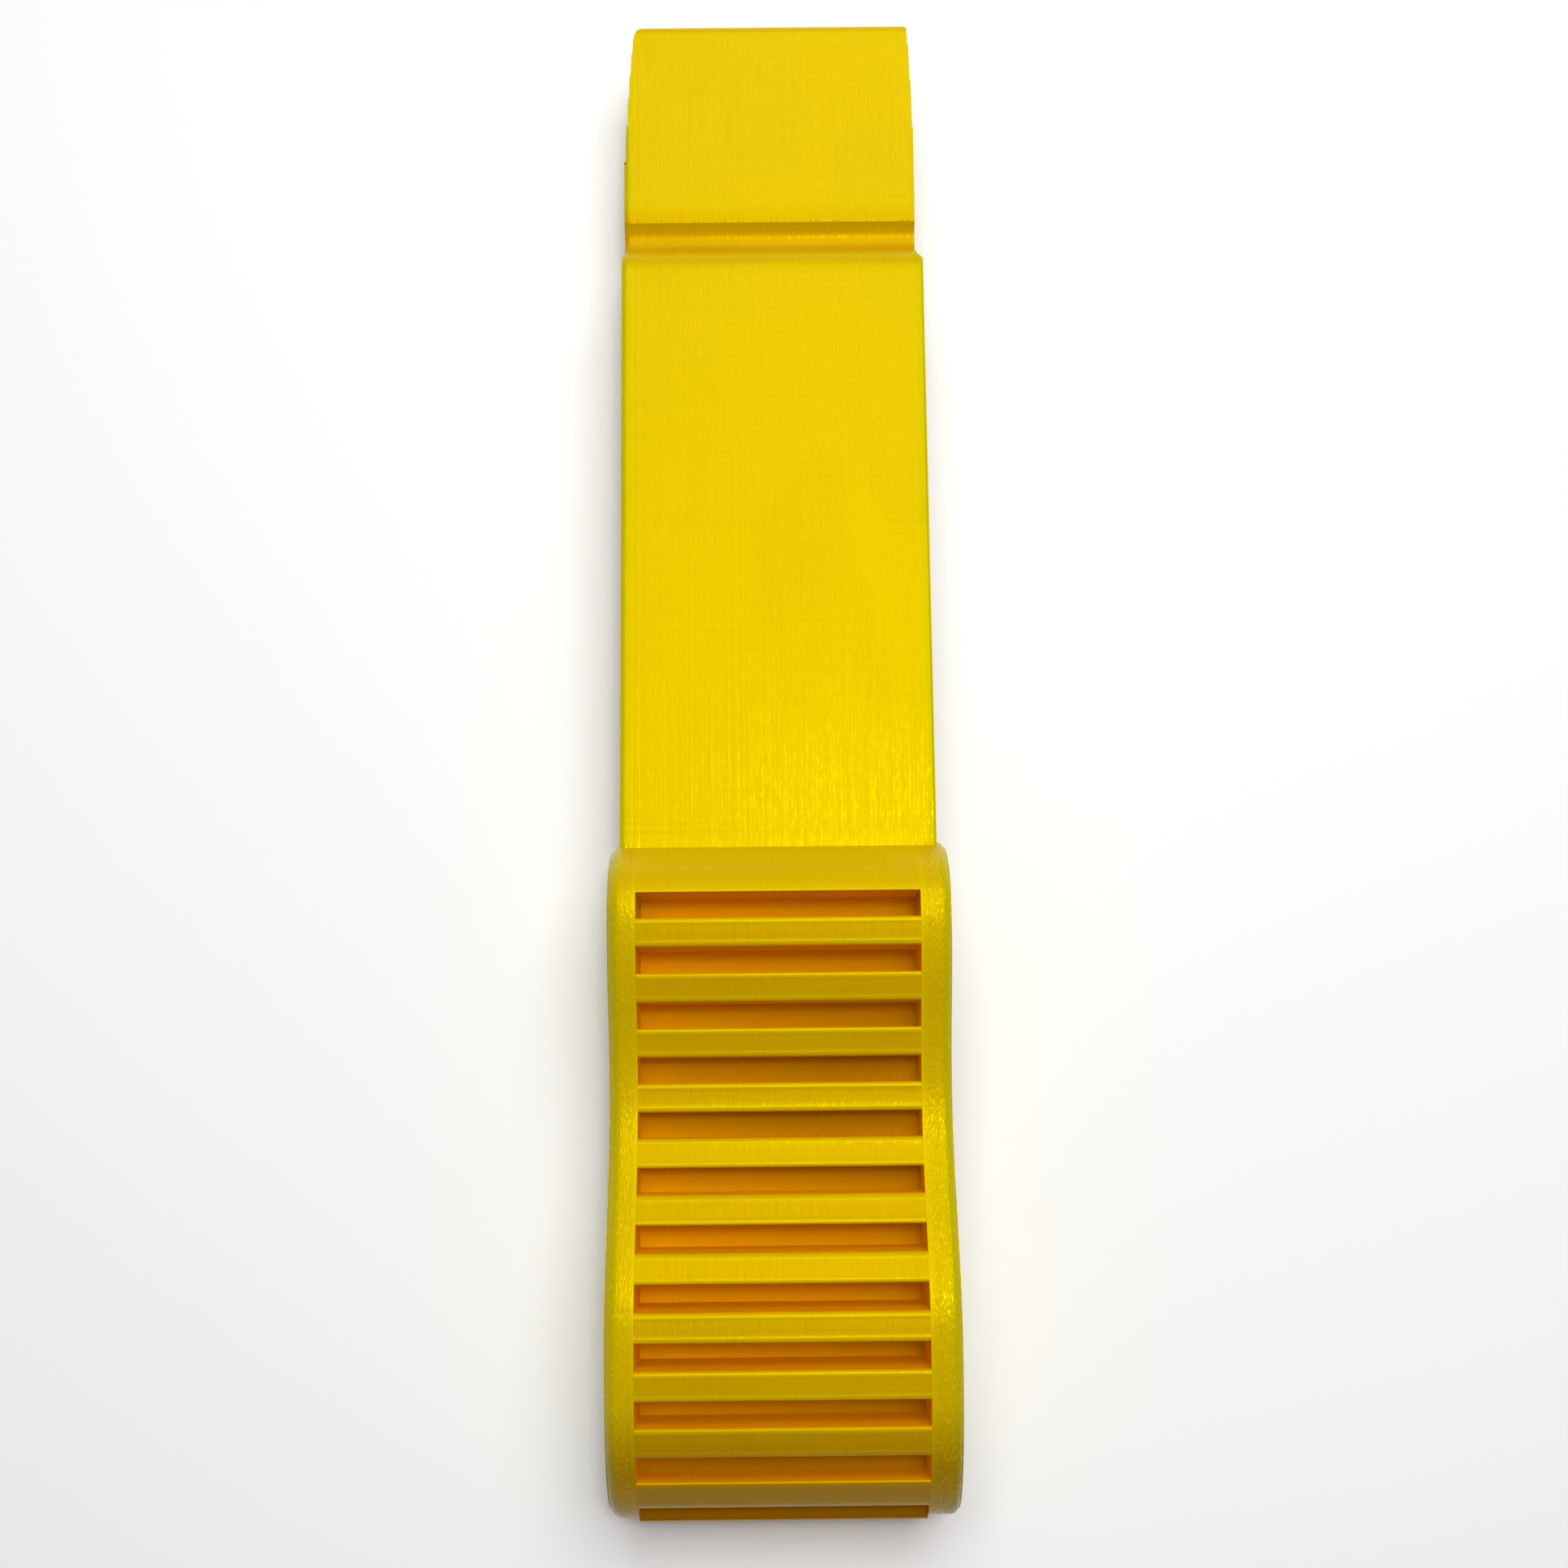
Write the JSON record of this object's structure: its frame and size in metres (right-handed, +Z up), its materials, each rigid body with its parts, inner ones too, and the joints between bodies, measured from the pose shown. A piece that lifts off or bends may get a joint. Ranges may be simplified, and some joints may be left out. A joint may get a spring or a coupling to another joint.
{
  "type": "tyre lever",
  "caption": "One-piece printed tyre lever: flat blade with a stepped, grooved bead hook and thin spoon tip, and a waisted grip with cross ribs between two side rails.",
  "frame": {"origin": "centre of the bounding box's floor, below the middle of the lever as it lies flat", "axes": "+Y along the lever from the grip to the spoon tip, +X across its width, +Z up, out of the side with the bead step"},
  "size_m": [0.0378, 0.1752, 0.0228],
  "materials": {
    "print": "satin, slightly translucent printed plastic with fine layer lines"
  },
  "bodies": {
    "root": {"bead_seat": "print", "bead_step": "print", "grip_nose": "print", "grip_rail_left": "print", "grip_rail_right": "print", "grip_web": "print", "rib_lower_01": "print", "rib_lower_02": "print", "rib_lower_03": "print", "rib_lower_04": "print", "rib_lower_05": "print", "rib_lower_06": "print", "rib_lower_07": "print", "rib_lower_08": "print", "rib_lower_09": "print", "rib_lower_10": "print", "rib_lower_11": "print", "rib_upper_01": "print", "rib_upper_02": "print", "rib_upper_03": "print", "rib_upper_04": "print", "rib_upper_05": "print", "rib_upper_06": "print", "rib_upper_07": "print", "rib_upper_08": "print", "rib_upper_09": "print", "rib_upper_10": "print", "rib_upper_11": "print", "shaft": "print", "spoon_tip": "print"}
  },
  "joints": []
}
